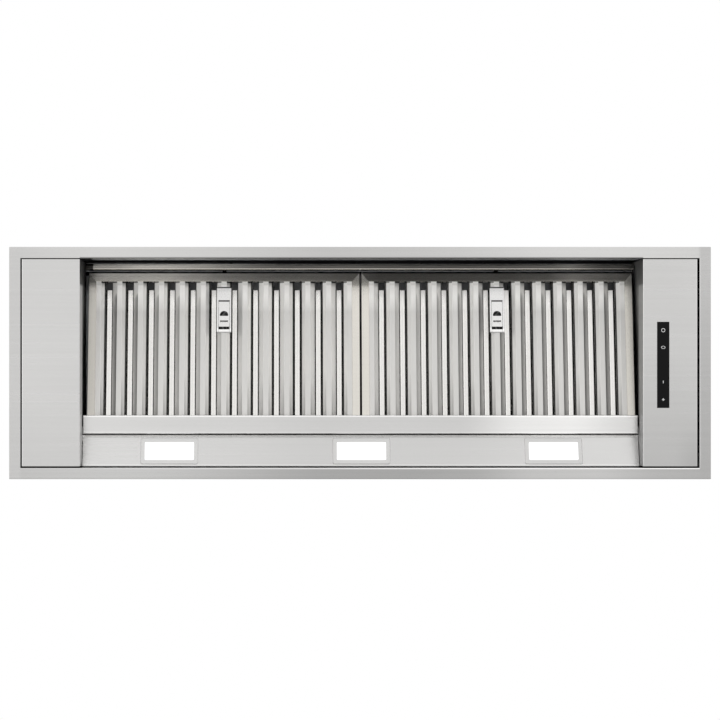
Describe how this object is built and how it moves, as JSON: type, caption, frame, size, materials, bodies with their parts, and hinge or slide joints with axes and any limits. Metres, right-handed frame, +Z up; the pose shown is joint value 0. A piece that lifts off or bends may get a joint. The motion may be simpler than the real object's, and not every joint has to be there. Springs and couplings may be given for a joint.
{
  "type": "built-in range hood insert",
  "caption": "built-in range hood insert with a flange frame, tilted baffle filters on a rest rail, lamps in a rear light rail, a touch control, and a blower under a duct spigot",
  "frame": {"origin": "centre of the flange's upper seat, which lies against the underside of the cabinet", "axes": "X along the hood to the cook's right, Y from the front to the rear, Z up"},
  "size_m": [1.16, 0.384, 0.3777],
  "materials": {
    "stainless_sheet": "fine brushed stainless steel",
    "galvanised_sheet": "plain galvanised steel",
    "polished_sheet": "bright rolled stainless steel",
    "zinc_fasteners": "bright zinc",
    "spring_steel": "drawn steel",
    "cast_aluminium": "cast and turned",
    "black_glass": "black printed behind clear glass",
    "lamp_lens": "frosted diffuser",
    "lamp_bezel": "satin silver",
    "lamp_housing": "die cast",
    "circuit_board": "solder resist",
    "black_plastic": "moulded",
    "bush_rubber": "moulded"
  },
  "bodies": {
    "hood": {"canopy_frame": "stainless_sheet", "front_panel": "galvanised_sheet", "rear_panel": "galvanised_sheet", "left_end_panel": "galvanised_sheet", "right_end_panel": "galvanised_sheet", "deck_plate": "galvanised_sheet", "left_box_wall": "stainless_sheet", "right_box_wall": "stainless_sheet", "left_side_cover": "stainless_sheet", "control_side_cover": "stainless_sheet", "cover_nuts": "zinc_fasteners", "touch_glass": "black_glass", "touch_board": "circuit_board", "touch_case": "black_plastic", "rest_rail": "stainless_sheet", "light_rail": "stainless_sheet", "lip_rail": "stainless_sheet", "blind_rivets": "zinc_fasteners", "lamp_bezels": "lamp_bezel", "lamp_lenses": "lamp_lens", "lamp_bodies": "lamp_housing", "lamp_boards": "circuit_board", "lamp_clips": "spring_steel", "blower_box": "galvanised_sheet", "blower_lid": "galvanised_sheet", "scroll_wrap": "galvanised_sheet", "scroll_motor_side": "galvanised_sheet", "scroll_inlet_side": "galvanised_sheet", "motor": "cast_aluminium", "motor_bracket": "galvanised_sheet", "motor_bushes": "bush_rubber", "motor_screws": "zinc_fasteners", "duct_spigot": "galvanised_sheet", "damper_pin": "spring_steel", "lid_screws": "zinc_fasteners", "control_box": "galvanised_sheet", "control_box_lid": "galvanised_sheet", "power_board": "circuit_board", "terminal_block": "black_plastic", "capacitor": "cast_aluminium", "cable_gland": "black_plastic", "led_driver": "black_plastic"},
    "left_filter": {"left_filter_frame": "polished_sheet", "left_front_baffles": "polished_sheet", "left_rear_baffles": "polished_sheet", "left_latch_plate": "polished_sheet", "left_latch_spring": "spring_steel"},
    "left_latch": {"left_latch_slider": "polished_sheet"},
    "right_filter": {"right_filter_frame": "polished_sheet", "right_front_baffles": "polished_sheet", "right_rear_baffles": "polished_sheet", "right_latch_plate": "polished_sheet", "right_latch_spring": "spring_steel"},
    "right_latch": {"right_latch_slider": "polished_sheet"},
    "fan": {"impeller": "galvanised_sheet", "impeller_blades": "galvanised_sheet", "motor_shaft": "spring_steel", "impeller_nut": "zinc_fasteners"},
    "front_flap": {"front_damper": "galvanised_sheet"},
    "rear_flap": {"rear_damper": "galvanised_sheet"}
  },
  "joints": [
    {"name": "left_filter_hinge", "type": "hinge", "parent": "hood", "child": "left_filter", "pos_m": [-0.2269, 0.0889, 0.0515], "axis": [1, 0, 0], "range_deg": [0, 60]},
    {"name": "right_filter_hinge", "type": "hinge", "parent": "hood", "child": "right_filter", "pos_m": [0.2333, 0.0889, 0.0515], "axis": [1, 0, 0], "range_deg": [0, 60]},
    {"name": "left_latch_slide", "type": "slide", "parent": "left_filter", "child": "left_latch", "axis": [0, 0.9816, -0.1908], "range_m": [0, 0.0045], "stiffness_N_per_m": 400, "springref_m": -0.004, "deforming": ["left_latch_spring"]},
    {"name": "right_latch_slide", "type": "slide", "parent": "right_filter", "child": "right_latch", "axis": [0, 0.9816, -0.1908], "range_m": [0, 0.0045], "stiffness_N_per_m": 400, "springref_m": -0.004, "deforming": ["right_latch_spring"]},
    {"name": "fan_spin", "type": "hinge", "parent": "hood", "child": "fan", "pos_m": [0, 0.034, 0.236], "axis": [1, 0, 0], "continuous": true},
    {"name": "front_flap_hinge", "type": "hinge", "parent": "hood", "child": "front_flap", "pos_m": [0, -0.035, 0.342], "axis": [-1, 0, 0], "range_deg": [0, 80]},
    {"name": "rear_flap_hinge", "type": "hinge", "parent": "hood", "child": "rear_flap", "pos_m": [0, -0.035, 0.342], "axis": [1, 0, 0], "range_deg": [0, 80]}
  ]
}
